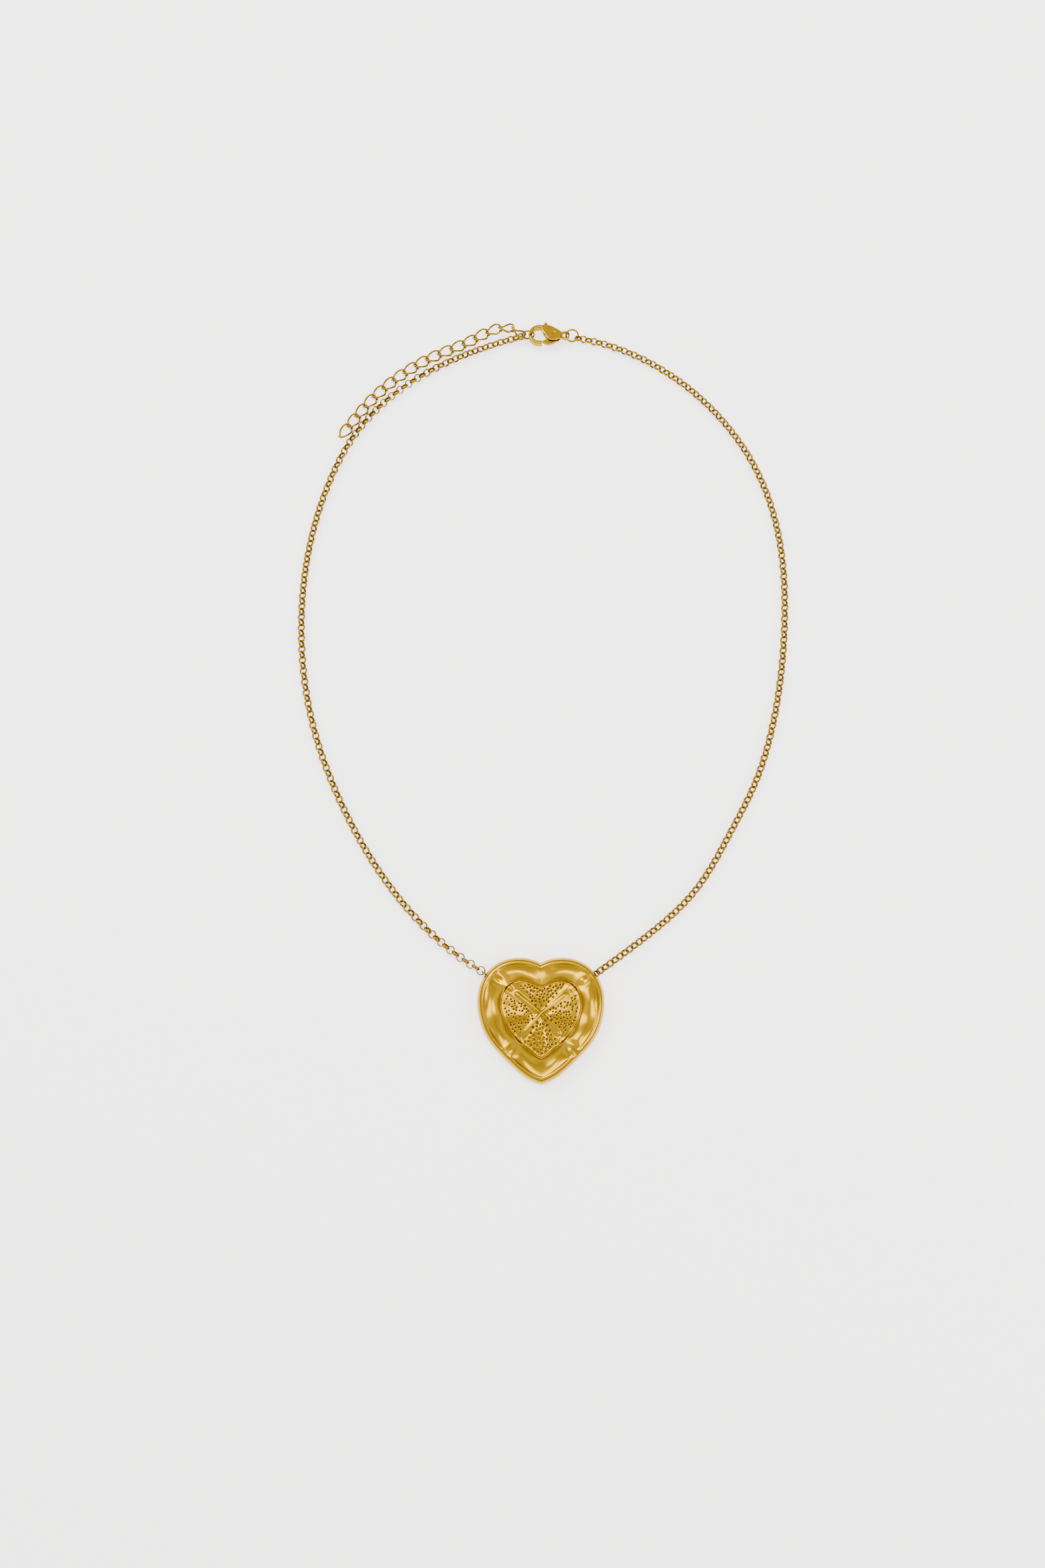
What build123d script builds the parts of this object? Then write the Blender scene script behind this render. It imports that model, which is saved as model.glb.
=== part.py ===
"""Pendant necklace: a puffed heart on a rolo chain, with a lobster clasp and an extender chain.

Millimetres. The necklace lies flat on z = 0, face up. The origin is the centre of the heart's flat
back, +X is to the wearer's left as seen from the front, +Y runs from the heart up to the clasp.
"""

import math
import os

from build123d import *

# ---- heart pendant ----
HEART_HALF = (
    (0, 12.6),
    (5.2, 13.8),
    (10.3, 12.1),
    (13.5, 7.6),
    (13.9, 2.5),
    (11.5, -4.2),
    (7.4, -8.7),
    (2.6, -12.6),
)
HEART_TIP = (0, -13.6)
HEART_HEIGHT = 5.2  # crown of the dome above the back
HEART_EDGE_HEIGHT = 2.6  # top of the dome at the rim's radius
HEART_RIM_RADIUS = 13.9
BACK_THICKNESS = 0.6
SHELL_WALL = 0.7
RIM_HEIGHT = 1.5  # straight part of the heart's side
RIM_SLOPE = 0.8  # share of the outline left where the sloped rim would meet the crown's height
INNER_HEART = 0.645  # inner engraved heart, as a share of the outer one
GROOVE_WIDTH = 0.5
GROOVE_DEPTH = 0.3
RIDGE_REACH = 9.5  # length of the four radial lines from the crown

# ---- solder loops at the heart's shoulders ----
LOOP_RADIUS = 0.85  # wire centreline
LOOP_WIRE = 0.44
LOOP_SET_OUT = 0.15  # loop centre beyond the heart's edge
LEFT_LOOP = (-12.05, 10.15)
RIGHT_LOOP = (12.05, 10.15)

# ---- rolo chain ----
LINK_INNER_R = 0.76
LINK_WALL = 0.27
LINK_WIDTH = 0.60
LINK_SHOULDER = 0.10  # flat part of the link's side before the domed outside
LINK_PITCH = 1.36
LOOP_PITCH = 1.26  # loop centre to first link centre
CHAIN_HEIGHT = LINK_INNER_R + LINK_WALL + 0.02
SEGMENTS = 10  # hinged lengths on each side

# The chain's path, from the first link at the heart to the last link at the clasp end.
LEFT_PATH = (
    (-22.2, 17.3),
    (-33.4, 29.2),
    (-41.7, 41.8),
    (-47.9, 54.3),
    (-52.4, 66.7),
    (-56.4, 91.9),
    (-54.3, 118.2),
    (-50.4, 131.8),
    (-45.7, 141.9),
    (-34.6, 154.8),
    (-19.7, 164.1),
)
RIGHT_PATH = (
    (23.1, 18.2),
    (34.8, 28.9),
    (43.0, 41.8),
    (49.5, 54.1),
    (53.8, 66.7),
    (58.0, 91.9),
    (57.3, 118.6),
    (53.4, 132.4),
    (46.2, 145.3),
    (36.0, 156.5),
    (23.4, 164.9),
)
# How far a link's flat is turned from the table: (share of the path, degrees).
LEFT_TWIST = ((0, 6), (0.12, 42), (0.45, 24), (0.68, 36), (0.84, 45), (0.95, 8), (1, 0))
RIGHT_TWIST = ((0, -45), (0.55, -42), (0.8, -18), (1, -25))
LEFT_FIRST_FLAT = True
RIGHT_FIRST_FLAT = True

# ---- jump rings at the clasp ----
RING_RADIUS = 1.525  # wire centreline
RING_WIRE = 0.45
CATCH_RING = (-2.6, 169.9, 1.78)
CATCH_RING_LEAN = 88  # degrees from flat, facing -Y
CATCH_CHAIN_AT = 201  # place of the left chain on the ring, degrees round it
CATCH_EXTENDER_AT = 149  # place of the extender on the ring
CLASP_RING_LEAN = 59
CLASP_CHAIN_AT = -27  # place of the right chain on the ring
RING_LINK_GAP = 0.2
CLASP_CHAIN_GAP = 0.3  # the wire crosses this link more aslant

# ---- lobster clasp, about the centre of its hook ----
CLASP = (0.19, 169.75, 1.66)
CLASP_THICKNESS = 1.6
HOOK_OUTER_R = 2.72
HOOK_INNER_R = 1.78
HOOK_START = 68  # degrees, where the hook leaves the body
HOOK_END = 287  # degrees, the seam where the gate closes
SEAM_GAP = 4  # degrees between hook tip and gate
GATE_HEEL = 297.5  # degrees, where the gate's end meets its outer side, clear of the hook tip
SLOT_HEIGHT = 0.72
LEVER_THICKNESS = 0.6
PIVOT = (3.55, 0.35)
PIN_RADIUS = 0.32
PIN_CLEARANCE = 0.04
EYE_CENTRE = (6.55, 0.0)
EYE_OUTER_R = 1.15
EYE_HOLE_R = 0.7
EYE_THICKNESS = 0.8
EYE_SLACK = 0.18  # ring wire beyond the eye's centre
KNOB_CENTRE = (1.65, 3.1)
KNOB_RADIUS = 0.5
SPRING_WIRE = 0.2
SPRING_BOW = ((4.9, 0.55), (4.5, 1.2), (3.56, 1.48))  # from the slot's end wall to the knob's arm

# ---- extender, twisted curb links ----
CURB_HALF_LENGTH = 1.97  # wire centreline
CURB_HALF_WIDTH = 1.26
CURB_TWIST = 0.46
CURB_WIRE = 0.48
CURB_COUNT = 17
CURB_PITCH = 3.35
EXTENDER_SEGMENTS = 4
EXTENDER_TWIST = ((0, -38), (0.14, 0), (1, 0))
EXTENDER_PATH = (
    (-9.4, 171.8, 1.8),
    (-12.8, 171.1, 1.1),
    (-17.0, 168.9, 0.74),
    (-25.7, 164.7, 0.74),
    (-34.3, 159.2, 0.74),
    (-41.3, 152.5, 0.74),
    (-45.6, 146.8, 0.74),
    (-49.7, 140.6, 0.74),
)


def turned(point, ahead, angle):
    """A link's plane at `point`: x along the chain, z its normal, `angle` degrees from upright."""
    across = Vector(0, 0, 1).cross(ahead).normalized()
    upright = ahead.cross(across).normalized()
    normal = upright * math.cos(math.radians(angle)) + across * math.sin(math.radians(angle))
    return Plane(origin=point, x_dir=ahead, z_dir=normal)


def between(stops, share):
    """The value at `share` along a list of (share, value) stops."""
    for (low, start), (high, end) in zip(stops, stops[1:]):
        if share <= high:
            return start + (end - start) * (share - low) / (high - low)
    return stops[-1][1]


def split_evenly(planes, groups):
    """The planes in `groups` runs of nearly equal length."""
    ends = [round(n * len(planes) / groups) for n in range(groups + 1)]
    return [planes[low:high] for low, high in zip(ends, ends[1:])]


def smooth_path(points):
    """One smooth curve through the points."""
    with BuildLine() as path:
        Spline(*points)
    return path.edge()


def rolo_planes(path, pitch, twist, first_flat):
    """One plane for each link along a path, every second link turned a quarter."""
    count = round(path.length / pitch) + 1
    if count % 2 == 0:
        count += 1
    planes = []
    for n in range(count):
        share = n / (count - 1)
        point = path.position_at(share * path.length, position_mode=PositionMode.LENGTH)
        ahead = path.tangent_at(share * path.length, position_mode=PositionMode.LENGTH)
        quarter = 90 if (n % 2 == 0) != first_flat else 0
        planes.append(turned(point, ahead, between(twist, share) + quarter))
    return planes


def ring_plane(centre, lean):
    """A jump ring's plane: x along the necklace, its normal leaning towards -Y."""
    lean = math.radians(lean)
    return Plane(origin=centre, x_dir=(1, 0, 0), z_dir=(0, -math.sin(lean), math.cos(lean)))


def on_ring(plane, angle):
    """The point at `angle` degrees round a jump ring's wire."""
    angle = math.radians(angle)
    return plane.from_local_coords((RING_RADIUS * math.cos(angle), RING_RADIUS * math.sin(angle), 0))


def first_link(loop, next_point):
    """The loop's centre and the first link's centre, on the way from the heart to the chain."""
    away = Vector(*next_point, 0) - Vector(*loop, 0)
    away = away.normalized()
    centre = Vector(*loop, CHAIN_HEIGHT) + away * LOOP_SET_OUT
    return centre, centre + away * LOOP_PITCH


def last_link(ring, angle, last_point, gap):
    """The last link's centre, hooked on a jump ring's wire and pulled towards the chain."""
    wire = on_ring(ring, angle)
    pull = Vector(*last_point, CHAIN_HEIGHT) - wire
    return wire + pull.normalized() * (LINK_INNER_R - RING_WIRE / 2 - gap)


def heart(height, reach):
    """A heart-shaped sketch `reach` times the pendant's outline, at `height`."""
    half = [(x * reach, y * reach) for x, y in (*HEART_HALF, HEART_TIP)]
    with BuildSketch(Plane.XY.offset(height)) as outline:
        with BuildLine():
            Spline(*half)
            mirror(about=Plane.YZ)
        make_face()
    return outline.sketch


def dome(depth):
    """The radius and centre height of the sphere that lies `depth` under the heart's crown."""
    rise = HEART_HEIGHT - HEART_EDGE_HEIGHT
    radius = (HEART_RIM_RADIUS**2 + rise**2) / (2 * rise)
    return radius - depth, HEART_HEIGHT - radius


# ---- the heart's flat back ----
with BuildPart() as heart_back:
    extrude(heart(0, 1), amount=BACK_THICKNESS)
heart_back.part.label = "heart_back"

# ---- the heart's hollow front ----
dome_radius, dome_centre = dome(0)
hollow_radius, _ = dome(SHELL_WALL)
groove_radius, _ = dome(GROOVE_DEPTH)
hollow_reach = 1 - SHELL_WALL / HEART_RIM_RADIUS
with BuildPart() as heart_hollow:
    extrude(heart(BACK_THICKNESS, hollow_reach), amount=RIM_HEIGHT - BACK_THICKNESS)
    loft([heart(RIM_HEIGHT, hollow_reach).face(), heart(HEART_HEIGHT, RIM_SLOPE * hollow_reach).face()])
    with Locations((0, 0, dome_centre)):
        Sphere(hollow_radius, mode=Mode.INTERSECT)

with BuildPart() as heart_grooves:
    extrude(heart(BACK_THICKNESS, INNER_HEART), amount=HEART_HEIGHT)
    inner_side = heart(BACK_THICKNESS, INNER_HEART - GROOVE_WIDTH / HEART_RIM_RADIUS)
    extrude(inner_side, amount=HEART_HEIGHT, mode=Mode.SUBTRACT)
    with BuildSketch(Plane.XY.offset(BACK_THICKNESS)):
        with Locations((0, 1.5)):
            with PolarLocations(RIDGE_REACH / 2, 4, start_angle=45):
                SlotOverall(RIDGE_REACH, GROOVE_WIDTH)
    extrude(amount=HEART_HEIGHT)
    with Locations((0, 0, dome_centre)):
        Sphere(groove_radius, mode=Mode.SUBTRACT)

with BuildPart() as heart_front:
    extrude(heart(BACK_THICKNESS, 1), amount=RIM_HEIGHT - BACK_THICKNESS)
    loft([heart(RIM_HEIGHT, 1).face(), heart(HEART_HEIGHT, RIM_SLOPE).face()])
    with Locations((0, 0, dome_centre)):
        Sphere(dome_radius, mode=Mode.INTERSECT)
    add(heart_hollow.part, mode=Mode.SUBTRACT)
    add(heart_grooves.part, mode=Mode.SUBTRACT)
heart_front.part.label = "heart_front"

# ---- one rolo link: a band ring, flat inside and domed outside ----
link_outer_r = LINK_INNER_R + LINK_WALL
shoulder_r = LINK_INNER_R + LINK_SHOULDER
with BuildPart() as rolo_link:
    with BuildSketch(Plane.XZ):
        with BuildLine():
            half_width = LINK_WIDTH / 2
            Polyline(
                (shoulder_r, -half_width),
                (LINK_INNER_R, -half_width),
                (LINK_INNER_R, half_width),
                (shoulder_r, half_width),
            )
            ThreePointArc((shoulder_r, half_width), (link_outer_r, 0), (shoulder_r, -half_width))
        make_face()
    revolve(axis=Axis.Z)

# ---- jump rings ----
catch_plane = ring_plane(CATCH_RING, CATCH_RING_LEAN)
clasp_ring_centre = (
    CLASP[0] + EYE_CENTRE[0] + EYE_SLACK + RING_RADIUS,
    CLASP[1] + EYE_CENTRE[1],
    CLASP[2],
)
clasp_ring_plane = ring_plane(clasp_ring_centre, CLASP_RING_LEAN)
jump_rings = {}
for name, plane in (("catch_ring", catch_plane), ("clasp_ring", clasp_ring_plane)):
    with BuildPart(plane) as jump_ring:
        Torus(RING_RADIUS, RING_WIRE / 2)
    jump_rings[name] = jump_ring
    jump_ring.part.label = name

# ---- where each chain starts and ends ----
left_loop, left_start = first_link(LEFT_LOOP, LEFT_PATH[0])
right_loop, right_start = first_link(RIGHT_LOOP, RIGHT_PATH[0])
left_end = last_link(catch_plane, CATCH_CHAIN_AT, LEFT_PATH[-1], RING_LINK_GAP)
right_end = last_link(clasp_ring_plane, CLASP_CHAIN_AT, RIGHT_PATH[-1], CLASP_CHAIN_GAP)
left_path = smooth_path([left_start, *[(x, y, CHAIN_HEIGHT) for x, y in LEFT_PATH], left_end])
right_path = smooth_path([right_start, *[(x, y, CHAIN_HEIGHT) for x, y in RIGHT_PATH], right_end])
left_links = rolo_planes(left_path, LINK_PITCH, LEFT_TWIST, LEFT_FIRST_FLAT)
right_links = rolo_planes(right_path, LINK_PITCH, RIGHT_TWIST, RIGHT_FIRST_FLAT)

# ---- solder loops: rings square to the first link, cut off where they meet the heart ----
loops = {}
loop_planes = {}
for name, centre, first in (
    ("left_loop", left_loop, left_links[0]),
    ("right_loop", right_loop, right_links[0]),
):
    loop_planes[name] = Plane(origin=centre, x_dir=first.x_dir, z_dir=first.z_dir.cross(first.x_dir))
    with BuildPart() as loop:
        with Locations(loop_planes[name]):
            Torus(LOOP_RADIUS, LOOP_WIRE / 2)
        add(heart_back.part, mode=Mode.SUBTRACT)
        add(heart_front.part, mode=Mode.SUBTRACT)
        add(heart_hollow.part, mode=Mode.SUBTRACT)
    loops[name] = loop
    loop.part.label = name

# ---- the two sides of the chain, in hinged lengths ----
left_segments = split_evenly(left_links, SEGMENTS)
right_segments = split_evenly(right_links, SEGMENTS)
chains = {}
for side, segments in (("left", left_segments), ("right", right_segments)):
    for number, planes in enumerate(segments, 1):
        name = f"{side}_chain_{number:02d}"
        chains[name] = Compound([rolo_link.part.solid().moved(plane.location) for plane in planes])
        chains[name].label = name


# ---- one curb link: an oval of round wire, twisted so that links lie flat ----
def curb_point(turn):
    """A point on the twisted oval's wire."""
    across = CURB_TWIST * math.sin(2 * turn)
    return (CURB_HALF_LENGTH * math.cos(turn), CURB_HALF_WIDTH * math.sin(turn), across)


def curb_heading(turn):
    """The wire's direction at that point."""
    rise = 2 * CURB_TWIST * math.cos(2 * turn)
    return (-CURB_HALF_LENGTH * math.sin(turn), CURB_HALF_WIDTH * math.cos(turn), rise)


SPANS = 6
with BuildPart() as curb_link:
    for start in (0, math.pi):
        turns = [start + math.pi * n / SPANS for n in range(SPANS + 1)]
        with BuildLine() as wire:
            Spline(
                *[curb_point(turn) for turn in turns],
                tangents=[curb_heading(turns[0]), curb_heading(turns[-1])],
            )
        with BuildSketch(Plane(origin=wire.line @ 0, z_dir=wire.line % 0)):
            Circle(CURB_WIRE / 2)
        sweep(path=wire.line)

extender_wire = on_ring(catch_plane, CATCH_EXTENDER_AT)
extender_pull = (Vector(*EXTENDER_PATH[0]) - extender_wire).normalized()
extender_slack = CURB_HALF_LENGTH - CURB_WIRE / 2 - RING_WIRE / 2 - RING_LINK_GAP
extender_start = extender_wire + extender_pull * extender_slack
extender_path = smooth_path([extender_start, *EXTENDER_PATH])
extender_links = []
for number in range(CURB_COUNT):
    along = number * CURB_PITCH
    point = extender_path.position_at(along, position_mode=PositionMode.LENGTH)
    ahead = extender_path.tangent_at(along, position_mode=PositionMode.LENGTH)
    extender_links.append(turned(point, ahead, between(EXTENDER_TWIST, number / CURB_COUNT)))
extender_segments = split_evenly(extender_links, EXTENDER_SEGMENTS)
for number, planes in enumerate(extender_segments, 1):
    name = f"extender_{number}"
    chains[name] = Compound([curb_link.part.solid().moved(plane.location) for plane in planes])
    chains[name].label = name

# ---- lobster clasp body: hook, two cheeks with a slot between them, and the eye ----
clasp_plane = Plane(origin=CLASP)
half_clasp = CLASP_THICKNESS / 2
hook_middle_r = (HOOK_INNER_R + HOOK_OUTER_R) / 2
CHEEK = ((0.95, 2.62), (2.9, 2.4), (4.5, 1.5), (5.7, 0.4), (5.4, -0.7), (3.9, -1.6), (2.5, -1.5), (1.8, -0.6))
SLOT = ((1.05, 3.4), (5.2, 3.4), (5.0, 0.2), (5.3, -3.0), (0.6, -3.0), (1.25, 1.6))
with BuildPart() as clasp_body:
    with BuildSketch(clasp_plane.offset(-half_clasp)):
        with BuildLine():
            outer = CenterArc((0, 0), HOOK_OUTER_R, HOOK_START, HOOK_END - HOOK_START)
            inner = CenterArc((0, 0), HOOK_INNER_R, HOOK_START, HOOK_END - HOOK_START)
            Line(outer @ 0, inner @ 0)
            Line(outer @ 1, inner @ 1)
        make_face()
    extrude(amount=CLASP_THICKNESS)
    fillet(clasp_body.edges().filter_by(GeomType.CIRCLE), 0.3)
    with BuildSketch(clasp_plane.offset(-half_clasp)):
        with BuildLine():
            Spline(*CHEEK, periodic=True)
        make_face()
    extrude(amount=CLASP_THICKNESS)
    with BuildSketch(clasp_plane.offset(-EYE_THICKNESS / 2)):
        with Locations(EYE_CENTRE):
            Circle(EYE_OUTER_R)
    extrude(amount=EYE_THICKNESS)
    with BuildSketch(clasp_plane.offset(-half_clasp)):
        with Locations(EYE_CENTRE):
            Circle(EYE_HOLE_R)
        with Locations(PIVOT):
            Circle(PIN_RADIUS)
    extrude(amount=CLASP_THICKNESS, mode=Mode.SUBTRACT)
    with BuildSketch(clasp_plane.offset(-SLOT_HEIGHT / 2)):
        with BuildLine():
            Polyline(*SLOT, close=True)
        make_face()
    extrude(amount=SLOT_HEIGHT, mode=Mode.SUBTRACT)
clasp_body.part.label = "clasp_body"

# ---- the gate lever: hub on the pin, gate along the bottom, thumb knob at the top ----
gate_start = math.radians(HOOK_END + SEAM_GAP)
gate_heel = math.radians(GATE_HEEL)
GATE = (
    (HOOK_INNER_R * math.cos(gate_start), HOOK_INNER_R * math.sin(gate_start)),
    (HOOK_OUTER_R * math.cos(gate_heel), HOOK_OUTER_R * math.sin(gate_heel)),
    (2.1, -2.72),
    (3.4, -2.4),
    (4.3, -1.8),
    (4.55, -0.9),
    (4.4, 0.35),
    (2.8, 0.35),
    (1.75, -1.15),
)
with BuildPart() as clasp_lever:
    with BuildSketch(clasp_plane.offset(-LEVER_THICKNESS / 2)):
        with BuildLine():
            Polyline(*GATE, close=True)
        make_face()
        with Locations(PIVOT):
            Circle(0.85)
        with BuildLine():
            Polyline((1.2, 2.85), (1.85, 3.1), (4.1, 0.8), (2.9, 0.1), close=True)
        make_face()
        with Locations(KNOB_CENTRE):
            Circle(KNOB_RADIUS)
        with Locations(PIVOT):
            Circle(PIN_RADIUS + PIN_CLEARANCE, mode=Mode.SUBTRACT)
    extrude(amount=LEVER_THICKNESS)
clasp_lever.part.label = "clasp_lever"

with BuildPart() as clasp_pin:
    with BuildSketch(clasp_plane.offset(-half_clasp)):
        with Locations(PIVOT):
            Circle(PIN_RADIUS)
    extrude(amount=CLASP_THICKNESS)
clasp_pin.part.label = "clasp_pin"

# ---- the bow spring in the slot, behind the knob's arm ----
with BuildPart() as clasp_spring:
    with BuildLine(clasp_plane) as bow:
        Spline(*SPRING_BOW)
    with BuildSketch(Plane(origin=bow.line @ 0, z_dir=bow.line % 0)):
        Circle(SPRING_WIRE / 2)
    sweep(path=bow.line)
clasp_spring.part.label = "clasp_spring"

# ---- write every piece ----
os.makedirs("parts", exist_ok=True)
pieces = [heart_back, heart_front, *loops.values(), *jump_rings.values()]
pieces += [clasp_body, clasp_lever, clasp_pin, clasp_spring]
for piece in pieces:
    export_step(piece.part, f"parts/{piece.part.label}.step")
for name, chain in chains.items():
    export_step(chain, f"parts/{name}.step")
print("left links", len(left_links), "spacing", round(left_path.length / (len(left_links) - 1), 4))
print("right links", len(right_links), "spacing", round(right_path.length / (len(right_links) - 1), 4))
print("extender path", round(extender_path.length, 1), "needs", round(CURB_PITCH * (CURB_COUNT - 1), 1))
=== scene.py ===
"""Looks for the pendant necklace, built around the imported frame. Metres, in the frame of the CAD."""

import math
import random

import bpy
import numpy as np
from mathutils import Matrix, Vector


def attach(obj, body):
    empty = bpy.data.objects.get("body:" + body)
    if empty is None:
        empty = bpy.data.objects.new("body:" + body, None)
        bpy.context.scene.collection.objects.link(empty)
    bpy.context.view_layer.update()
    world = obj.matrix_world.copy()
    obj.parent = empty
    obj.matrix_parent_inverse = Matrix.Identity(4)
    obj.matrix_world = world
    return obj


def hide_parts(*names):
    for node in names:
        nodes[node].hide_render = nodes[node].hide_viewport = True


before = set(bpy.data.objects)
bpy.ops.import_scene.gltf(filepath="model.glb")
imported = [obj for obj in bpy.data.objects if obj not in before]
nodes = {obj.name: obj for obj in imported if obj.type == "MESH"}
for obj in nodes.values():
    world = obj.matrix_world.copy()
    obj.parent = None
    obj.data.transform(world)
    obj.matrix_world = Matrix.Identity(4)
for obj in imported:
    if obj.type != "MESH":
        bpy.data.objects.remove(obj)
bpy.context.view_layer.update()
MM = 0.001
rng = random.Random(7)

# ---- pendant relief, millimetres ----
RELIEF_CENTRE = (0.0, 1.4)
INNER_HALF = [
    (0, 7.0), (2.2, 7.95), (4.6, 8.45), (6.9, 7.6), (8.4, 5.4), (8.75, 2.9),
    (7.9, -0.2), (6.5, -2.6), (4.6, -4.65), (2.4, -6.4), (0, -8.05),
]
RIDGES = [math.radians(a) for a in (38, 141, 229, 311)]
AROUND = 720
LINE_SHARE = 0.6
SHARES_IN = 110
SHARES_OUT = 90
SIDE_TOP = 1.25
BACK = 0.6
PLATE_GAP = 0.06  # the relief starts this far above the back plate's face
CROWN_TOP = 4.5
CROWN_DROP = 0.75
CROWN_REACH = 9.5
RIM_Z = 3.35
RIM_SHARE = 0.8  # the border meets the rim at this share of its width
TOP_LIMIT = 5.15  # keeps every ridge inside the CAD's box
UPPER_DIMPLES = (11.7, 7.6)  # outer and inner distance from the relief's centre
LOWER_DIMPLES = (9.9, 6.5)
DOTS = ((0, 52, 0.19), (1, 52, 0.17), (2, 62, 0.24), (3, 56, 0.18))  # petal, count, radius


def mesh_object(name, verts, faces, smooth=True):
    """A new mesh object from vertices in metres."""
    mesh = bpy.data.meshes.new(name)
    mesh.from_pydata([tuple(v) for v in verts], [], faces)
    mesh.validate()
    obj = bpy.data.objects.new(name, mesh)
    bpy.context.scene.collection.objects.link(obj)
    if smooth:
        mesh.polygons.foreach_set("use_smooth", [True] * len(mesh.polygons))
    return obj


# ---- materials ----
def gold(name, colour, roughness, grain, grain_size=0.12, wear=0.05, tone=0.06, shade=1.0, depth=0.3):
    """Gold-plated metal: slight colour drift, satin grain, painted shade darkening the creases."""
    mat = bpy.data.materials.new(name)
    mat.use_nodes = True
    tree = mat.node_tree
    link = tree.links.new
    shader = tree.nodes["Principled BSDF"]
    shader.inputs["Metallic"].default_value = 1.0
    coords = tree.nodes.new("ShaderNodeTexCoord")

    drift = tree.nodes.new("ShaderNodeTexNoise")
    drift.inputs["Scale"].default_value = 320
    drift.inputs["Detail"].default_value = 3
    link(coords.outputs["Object"], drift.inputs["Vector"])
    tint = tree.nodes.new("ShaderNodeMix")
    tint.data_type = "RGBA"
    tint.inputs["A"].default_value = (*[c * (1 - tone) for c in colour], 1)
    tint.inputs["B"].default_value = (*[min(1, c * (1 + tone * 0.6)) for c in colour], 1)
    link(drift.outputs["Fac"], tint.inputs["Factor"])

    # Painted shade: where ambient occlusion finds a crease, the base colour is darkened towards depth times the
    # colour.
    crease = tree.nodes.new("ShaderNodeAmbientOcclusion")
    crease.samples = 8
    crease.inputs["Distance"].default_value = shade * MM
    open_air = tree.nodes.new("ShaderNodeMapRange")
    open_air.inputs["From Min"].default_value = 0.3
    open_air.inputs["From Max"].default_value = 0.85
    link(crease.outputs["AO"], open_air.inputs["Value"])
    painted_crease_shade = tree.nodes.new("ShaderNodeMix")
    painted_crease_shade.data_type = "RGBA"
    # Light bounced between two gold faces loses green and blue, so a crease turns redder as it darkens.
    painted_crease_shade.inputs["A"].default_value = (*[c * depth * keep for c, keep in zip(colour, (1, 0.62, 0.4))], 1)
    link(open_air.outputs["Result"], painted_crease_shade.inputs["Factor"])
    link(tint.outputs["Result"], painted_crease_shade.inputs["B"])
    link(painted_crease_shade.outputs["Result"], shader.inputs["Base Color"])

    scratch = tree.nodes.new("ShaderNodeTexNoise")
    scratch.inputs["Scale"].default_value = 900
    scratch.inputs["Detail"].default_value = 6
    link(coords.outputs["Object"], scratch.inputs["Vector"])
    rough = tree.nodes.new("ShaderNodeMapRange")
    rough.inputs["To Min"].default_value = roughness - wear
    rough.inputs["To Max"].default_value = roughness + wear
    link(scratch.outputs["Fac"], rough.inputs["Value"])
    link(rough.outputs["Result"], shader.inputs["Roughness"])

    grains = tree.nodes.new("ShaderNodeTexNoise")
    grains.inputs["Scale"].default_value = 1 / (grain_size * MM)
    grains.inputs["Detail"].default_value = 4
    link(coords.outputs["Object"], grains.inputs["Vector"])
    bump = tree.nodes.new("ShaderNodeBump")
    bump.inputs["Strength"].default_value = grain
    bump.inputs["Distance"].default_value = 0.02 * MM
    link(grains.outputs["Fac"], bump.inputs["Height"])
    link(bump.outputs["Normal"], shader.inputs["Normal"])
    return mat


def paint(obj, mat):
    """Every slot of the object gets the material."""
    if not obj.data.materials:
        obj.data.materials.append(mat)
    for n in range(len(obj.data.materials)):
        obj.material_slots[n].material = mat


pendant_gold = gold("pendant_satin_gold", (0.42, 0.235, 0.001), 0.22, grain=0.12)
rim_gold = gold("pendant_polished_gold", (0.38, 0.21, 0.001), 0.2, grain=0.1)
chain_gold = gold("chain_gold", (0.27, 0.145, 0.001), 0.22, grain=0.1, tone=0.08, shade=1.1, depth=0.34)
clasp_gold = gold("clasp_gold", (0.38, 0.21, 0.001), 0.2, grain=0.12, depth=0.25)
steel = gold("spring_steel", (0.55, 0.55, 0.56), 0.3, grain=0.1, tone=0.05, shade=2.0, depth=0.2)

for name, node in nodes.items():
    if name.startswith("clasp") and name != "clasp_ring":
        paint(node, steel if name == "clasp_spring" else clasp_gold)
    else:
        paint(node, rim_gold if name.startswith("heart") else chain_gold)


# ---- the heart's chased front ----
def radial(points):
    """The distance from the relief's centre to a closed outline, at AROUND even angles."""
    offset = np.array(points) - np.array(RELIEF_CENTRE)
    angle = np.arctan2(offset[:, 1], offset[:, 0]) % (2 * math.pi)
    order = np.argsort(angle)
    angle = angle[order]
    distance = np.hypot(offset[:, 0], offset[:, 1])[order]
    at = np.linspace(0, 2 * math.pi, AROUND, endpoint=False)
    return np.interp(at, angle, distance, period=2 * math.pi)


def softened(values, width):
    """A closed run of values, smoothed with a bell of that width."""
    reach = np.arange(-3 * width, 3 * width + 1)
    bell = np.exp(-((reach / width) ** 2))
    bell /= bell.sum()
    return sum(weight * np.roll(values, shift) for weight, shift in zip(bell, reach))


def bell(distance, width):
    """A smooth bump of that width."""
    return np.exp(-((distance / width) ** 2))


def step(low, high, value):
    """0 below low, 1 above high, smooth between."""
    t = np.clip((value - low) / (high - low), 0, 1)
    return t * t * (3 - 2 * t)


def catmull(points, per_span=16):
    """A smooth curve through the points, its ends mirrored for a symmetric outline."""
    pts = [np.array(p, float) for p in points]
    pts = [pts[1] * (-1, 1), *pts, pts[-2] * (-1, 1)]
    out = []
    for a, b, c, d in zip(pts, pts[1:], pts[2:], pts[3:]):
        for t in np.linspace(0, 1, per_span, endpoint=False):
            out.append(
                0.5 * (2 * b + (c - a) * t + (2 * a - 5 * b + 4 * c - d) * t**2 + (3 * b - a - 3 * c + d) * t**3)
            )
    out.append(pts[-2])
    return np.array(out)


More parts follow.
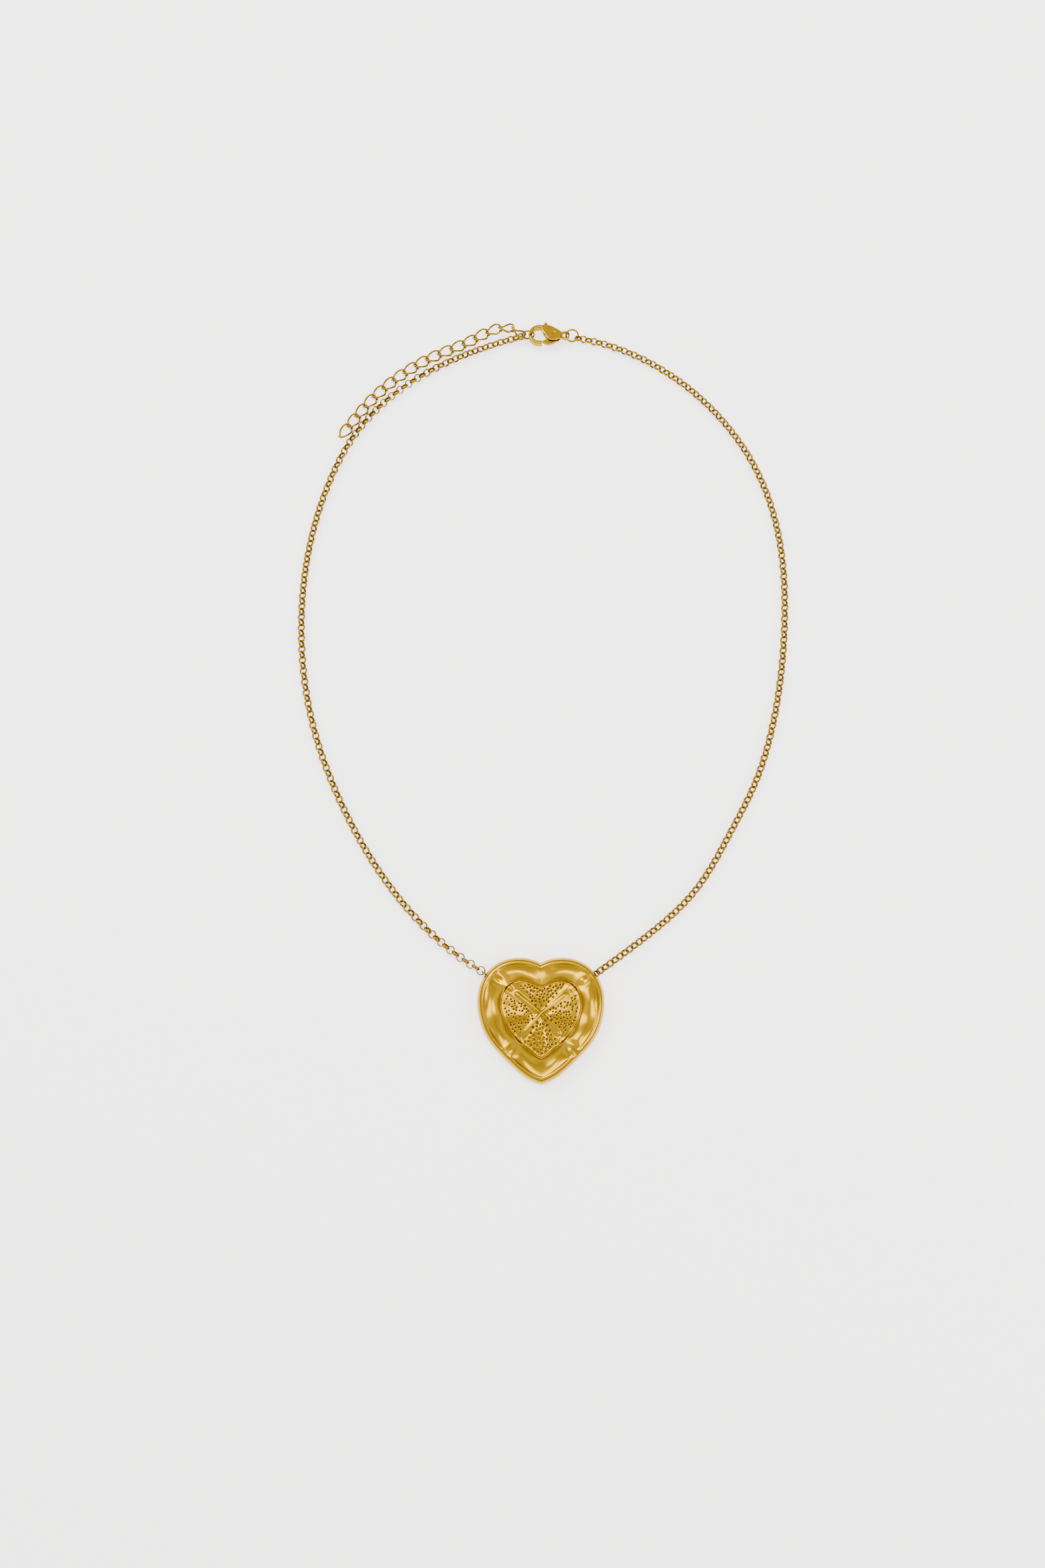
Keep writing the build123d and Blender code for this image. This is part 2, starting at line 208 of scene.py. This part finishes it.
outline = np.array([(v.co.x / MM, v.co.y / MM) for v in nodes["heart_back"].data.vertices])
reach_out = radial(outline)
half = catmull(INNER_HALF)
reach_in = softened(radial(np.vstack([half, half[1:-1] * (-1, 1)])), 2)

at = np.linspace(0, 2 * math.pi, AROUND, endpoint=False)
shares = np.concatenate([
    np.linspace(0, LINE_SHARE, SHARES_IN, endpoint=False)[1:],
    np.linspace(LINE_SHARE, 1, SHARES_OUT),
])
share, angle = np.meshgrid(shares, at, indexing="ij")
inner = np.minimum(share / LINE_SHARE, 1) * reach_in
outer = np.maximum(share - LINE_SHARE, 0) / (1 - LINE_SHARE) * (reach_out - reach_in)
radius = inner + outer
x = RELIEF_CENTRE[0] + radius * np.cos(angle)
y = RELIEF_CENTRE[1] + radius * np.sin(angle)
past_line = (share - LINE_SHARE) / (1 - LINE_SHARE)

# Distance along the arc to each ridge, and the place between two ridges.
turn = [(angle - ridge + math.pi) % (2 * math.pi) - math.pi for ridge in RIDGES]
arcs = [radius * np.clip(t, -1.3, 1.3) for t in turn]
nearest = np.min(np.abs(arcs), axis=0)
ends = RIDGES + [RIDGES[0] + 2 * math.pi]
place = np.zeros_like(angle)
for low, high in zip(ends, ends[1:]):
    here = (angle - low) % (2 * math.pi)
    inside = here < high - low
    place[inside] = (2 * here / (high - low) - 1)[inside]

# Crown, petals and ridges inside the engraved heart.
crown = CROWN_TOP - CROWN_DROP * np.clip(radius / CROWN_REACH, 0, 1.2) ** 2
swell = (1 - place**2) * step(0.3, 3.5, radius)
petals = 0.6 * swell - 0.12 * bell(nearest - 0.9, 0.4) * step(0.6, 2.2, radius)
ridge = 0.42 * bell(nearest, 0.42) * (1 - 0.55 * step(0.75, 1.0, share / LINE_SHARE))
waves = 0.1 * np.cos(place * math.pi * 2.5) * step(2.0, 5.0, radius) * (1 - place**2)
inside_z = crown + petals + ridge + waves

# Concave scalloped border between the engraved heart and the rim.
line_z = CROWN_TOP - CROWN_DROP * np.clip(reach_in / CROWN_REACH, 0, 1.2) ** 2
to_rim = np.clip(past_line / RIM_SHARE, 0, 1)
bowl = np.sin(to_rim * math.pi)
flute = bell(nearest, 0.9)
scallop = 0.22 * np.cos(place * math.pi * 2) * bowl
slope = line_z + (RIM_Z - line_z) * to_rim**0.9
border_z = slope - 0.55 * bowl * (1 - 0.75 * flute) + scallop + 0.25 * flute * (1 - past_line)
shoulder = np.clip((past_line - 0.72) / 0.28, 0, 1)
rim_z = SIDE_TOP + (3.5 - SIDE_TOP) * np.sqrt(np.clip(1 - shoulder**2.2, 0, 1))
blend = step(0.66, 0.8, past_line)
border_z = border_z * (1 - blend) + rim_z * blend

z = np.where(share <= LINE_SHARE, inside_z, border_z)
join = step(0, 0.06, past_line)
z = np.where(share > LINE_SHARE, inside_z[SHARES_IN - 2] * (1 - join) + border_z * join, z)

# The engraved line, and the teardrop dimples along the ridges.
gap = np.abs(radius - reach_in)
z -= 0.32 * bell(gap, 0.1)
z += 0.06 * bell(gap - 0.3, 0.2)
for ridge_angle, t, arc in zip(RIDGES, turn, arcs):
    near = np.abs(t) < 1.2
    out_at, in_at = UPPER_DIMPLES if math.sin(ridge_angle) > 0 else LOWER_DIMPLES
    z -= near * 0.5 * bell(radius - out_at, 1.25) * bell(arc, 0.6)
    z += near * 0.14 * bell(radius - out_at, 1.6) * bell(np.abs(arc) - 1.2, 0.6)
    z -= near * 0.4 * bell(radius - in_at, 0.7) * bell(arc, 0.5)

# Punched dots in the four petals, closer and larger in the bottom one.
dots = []
for n, count, size in DOTS:
    low, high = ends[n], ends[n + 1]
    tries = 0
    made = 0
    while made < count and tries < 6000:
        tries += 1
        a = low + (high - low) * rng.uniform(0.13, 0.87)
        limit = np.interp(a % (2 * math.pi), at, reach_in)
        r = limit * math.sqrt(rng.uniform(0.05, 0.84))
        px = RELIEF_CENTRE[0] + r * math.cos(a)
        py = RELIEF_CENTRE[1] + r * math.sin(a)
        if all((px - q[0]) ** 2 + (py - q[1]) ** 2 > (3.0 * size) ** 2 for q in dots):
            dots.append((px, py, size * rng.uniform(0.75, 1.2)))
            made += 1
for px, py, size in dots:
    near = (np.abs(x - px) < 0.6) & (np.abs(y - py) < 0.6)
    z[near] -= 0.28 * np.exp(-(((x[near] - px) ** 2 + (y[near] - py) ** 2) / size**2) ** 1.5)

z = np.clip(z, SIDE_TOP, TOP_LIMIT)
rows = [np.stack([x[n], y[n], z[n]], axis=1) for n in range(len(shares))]
edge = rows[-1]
for level in (0.95, BACK + PLATE_GAP):
    side = edge.copy()
    side[:, 2] = level
    rows.append(side)
centre_z = float(z[0].mean())
verts = [np.array([[RELIEF_CENTRE[0], RELIEF_CENTRE[1], centre_z]]), *rows]
points = np.vstack(verts) * MM
faces = []
for n in range(AROUND):
    nxt = (n + 1) % AROUND
    faces.append((0, 1 + n, 1 + nxt))
for row in range(len(rows) - 1):
    base = 1 + row * AROUND
    for n in range(AROUND):
        nxt = (n + 1) % AROUND
        faces.append((base + n, base + AROUND + n, base + AROUND + nxt, base + nxt))
# The hidden underside closes the shell on the back plate.
last = 1 + (len(rows) - 1) * AROUND
bottom = len(points)
points = np.vstack([points, [[RELIEF_CENTRE[0] * MM, RELIEF_CENTRE[1] * MM, (BACK + PLATE_GAP) * MM]]])
for n in range(AROUND):
    faces.append((last + n, bottom, last + (n + 1) % AROUND))
front = mesh_object("pendant_front_relief", points, faces)
paint(front, pendant_gold)
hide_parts("heart_front")
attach(front, "heart")

# ---- the clasp's cast pieces, their edges rounded by tumbling ----
for name, grid in (("clasp_body", 0.055), ("clasp_lever", 0.045)):
    melt = nodes[name].modifiers.new("grid", "REMESH")
    melt.mode = "VOXEL"
    melt.voxel_size = grid * MM
    melt.use_smooth_shade = True
    tumble = nodes[name].modifiers.new("tumble", "SMOOTH")
    tumble.factor = 0.5
    tumble.iterations = 14

# ---- floor ----
floor_mat = bpy.data.materials.new("floor_paper")
floor_mat.use_nodes = True
floor_shader = floor_mat.node_tree.nodes["Principled BSDF"]
floor_shader.inputs["Base Color"].default_value = (0.9, 0.87, 0.86, 1)
floor_shader.inputs["Roughness"].default_value = 0.8
floor_shader.inputs["Emission Color"].default_value = (1, 0.965, 0.95, 1)
floor_shader.inputs["Emission Strength"].default_value = 1.8
FLOOR_HALF = 3
FLOOR_Z = -2e-5
corners = [(sx * FLOOR_HALF, sy * FLOOR_HALF, FLOOR_Z) for sx, sy in ((-1, -1), (1, -1), (1, 1), (-1, 1))]
floor = mesh_object("floor", corners, [(0, 1, 2, 3)], smooth=False)
floor.data.materials.append(floor_mat)


# ---- light ----
def softbox(name, place, aim, size, power):
    """A large area light at `place`, facing `aim`."""
    data = bpy.data.lights.new(name, "AREA")
    data.shape = "RECTANGLE"
    data.size, data.size_y = size
    data.energy = power
    lamp = bpy.data.objects.new(name, data)
    lamp.location = place
    lamp.rotation_euler = (Vector(aim) - Vector(place)).to_track_quat("-Z", "Y").to_euler()
    bpy.context.scene.collection.objects.link(lamp)


TENT_BRIGHTNESS = 2.0
middle = (0, 0.075, 0)
softbox("key_light", (-0.35, 0.45, 0.6), middle, (0.5, 0.4), 6.5)
softbox("fill_light", (0.45, -0.1, 0.5), middle, (0.3, 0.4), 3.0)
softbox("top_light", (0.0, 0.3, 0.8), middle, (0.3, 0.3), 2.2)
world = bpy.data.worlds.new("studio")
bpy.context.scene.world = world
world.use_nodes = True
sky = world.node_tree
background = sky.nodes["Background"]
background.inputs["Color"].default_value = (1, 0.985, 0.97, 1)
# A pale tent, its brightness changing with height so that curved gold shows bands.
where = sky.nodes.new("ShaderNodeTexCoord")
height = sky.nodes.new("ShaderNodeSeparateXYZ")
bands = sky.nodes.new("ShaderNodeValToRGB")
level = sky.nodes.new("ShaderNodeMath")
level.operation = "MULTIPLY"
level.inputs[1].default_value = TENT_BRIGHTNESS
stops = bands.color_ramp.elements
stops[0].position, stops[1].position = 0, 1
for stop, value in ((stops[0], 0.28), (stops[1], 0.78)):
    stop.color = (value, value, value, 1)
for position, value in ((0.35, 0.42), (0.6, 1.0), (0.78, 0.8), (0.9, 0.5)):
    stops.new(position).color = (value, value, value, 1)
sky.links.new(where.outputs["Generated"], height.inputs["Vector"])
sky.links.new(height.outputs["Z"], bands.inputs["Fac"])
sky.links.new(bands.outputs["Color"], level.inputs[0])
sky.links.new(level.outputs["Value"], background.inputs["Strength"])

# ---- camera ----
TILT = math.radians(14.35)
camera_data = bpy.data.cameras.new("camera")
camera_data.lens = 29
camera_data.sensor_width = 36
camera_data.clip_start = 0.01
camera = bpy.data.objects.new("camera", camera_data)
camera.location = (-0.00402, -0.01825, 0.2815)
camera.rotation_euler = (TILT, 0, 0)
bpy.context.scene.collection.objects.link(camera)
bpy.context.scene.camera = camera
